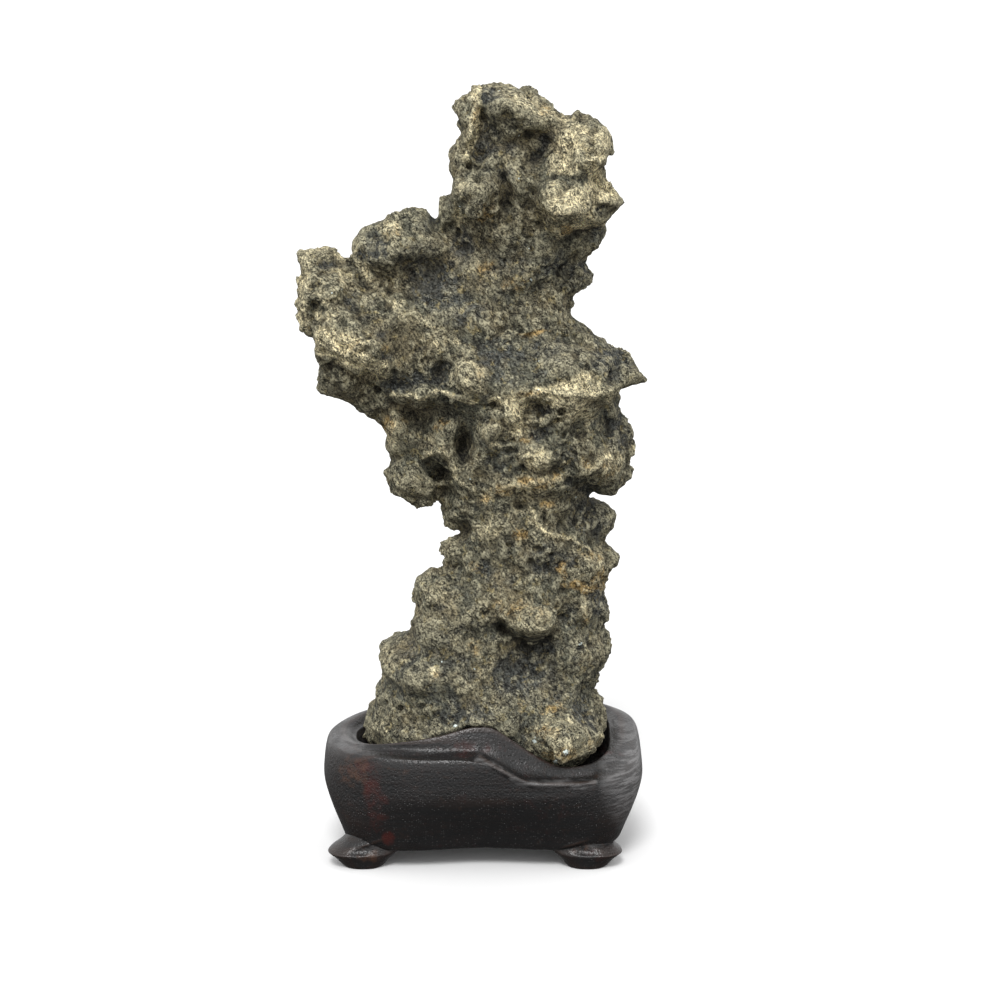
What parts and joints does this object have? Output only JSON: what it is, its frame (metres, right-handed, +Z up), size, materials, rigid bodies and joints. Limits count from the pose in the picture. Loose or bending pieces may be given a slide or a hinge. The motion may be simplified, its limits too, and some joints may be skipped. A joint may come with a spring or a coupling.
{
  "type": "scholars rock",
  "caption": "Tall weathered scholar's rock with pits, ledges and an overhanging head, standing in a carved dark wooden stand with flared feet.",
  "frame": {"origin": "middle of the whole object's footprint box, on the surface the stand's feet rest on", "axes": "+Z up, +X to the viewer's right when facing the front, -Y towards the viewer"},
  "size_m": [0.1266, 0.077, 0.2776],
  "materials": {
    "stone": "matte, pitted",
    "rosewood": "satin, dark stained"
  },
  "bodies": {
    "root": {"rock": "stone", "wooden_stand": "rosewood"}
  },
  "joints": []
}
